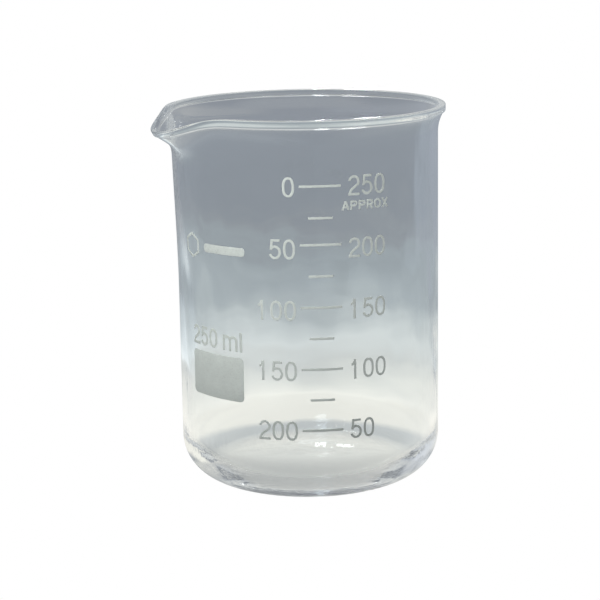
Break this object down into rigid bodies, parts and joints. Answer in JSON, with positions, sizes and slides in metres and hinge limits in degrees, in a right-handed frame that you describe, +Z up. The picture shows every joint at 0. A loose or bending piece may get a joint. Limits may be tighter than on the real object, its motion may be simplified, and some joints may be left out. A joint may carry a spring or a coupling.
{
  "type": "laboratory beaker",
  "caption": "Clear glass low-form beaker with a flared, beaded rim, a pouring spout, rounded base corners and fired-on white volume lines, numbers and a write-on patch.",
  "frame": {"origin": "the middle of the flat underside that the beaker stands on, on the axis of its round wall", "axes": "+Z up out of the mouth; the printed scale faces -Y; the spout points to -X, turned 19 degrees towards the scale"},
  "size_m": [0.0762, 0.0722, 0.098],
  "materials": {
    "clear_glass": "clear, fire-polished",
    "white_enamel": "thin matt white enamel, fired on"
  },
  "bodies": {
    "root": {"glass_body": "clear_glass", "approx_letter_1_A": "white_enamel", "approx_letter_2_P": "white_enamel", "approx_letter_3_P": "white_enamel", "approx_letter_4_R": "white_enamel", "approx_letter_5_O": "white_enamel", "approx_letter_6_X": "white_enamel", "capacity_digit_1": "white_enamel", "capacity_digit_2": "white_enamel", "capacity_digit_3": "white_enamel", "capacity_letter_l": "white_enamel", "capacity_letter_m": "white_enamel", "falling_0_digit_1": "white_enamel", "falling_100_digit_1": "white_enamel", "falling_100_digit_2": "white_enamel", "falling_100_digit_3": "white_enamel", "falling_150_digit_1": "white_enamel", "falling_150_digit_2": "white_enamel", "falling_150_digit_3": "white_enamel", "falling_200_digit_1": "white_enamel", "falling_200_digit_2": "white_enamel", "falling_200_digit_3": "white_enamel", "falling_50_digit_1": "white_enamel", "falling_50_digit_2": "white_enamel", "label_bar": "white_enamel", "label_hexagon": "white_enamel", "line_050_ml": "white_enamel", "line_075_ml": "white_enamel", "line_100_ml": "white_enamel", "line_125_ml": "white_enamel", "line_150_ml": "white_enamel", "line_175_ml": "white_enamel", "line_200_ml": "white_enamel", "line_225_ml": "white_enamel", "line_250_ml": "white_enamel", "marking_patch": "white_enamel", "rising_100_digit_1": "white_enamel", "rising_100_digit_2": "white_enamel", "rising_100_digit_3": "white_enamel", "rising_150_digit_1": "white_enamel", "rising_150_digit_2": "white_enamel", "rising_150_digit_3": "white_enamel", "rising_200_digit_1": "white_enamel", "rising_200_digit_2": "white_enamel", "rising_200_digit_3": "white_enamel", "rising_250_digit_1": "white_enamel", "rising_250_digit_2": "white_enamel", "rising_250_digit_3": "white_enamel", "rising_50_digit_1": "white_enamel", "rising_50_digit_2": "white_enamel"}
  },
  "joints": []
}
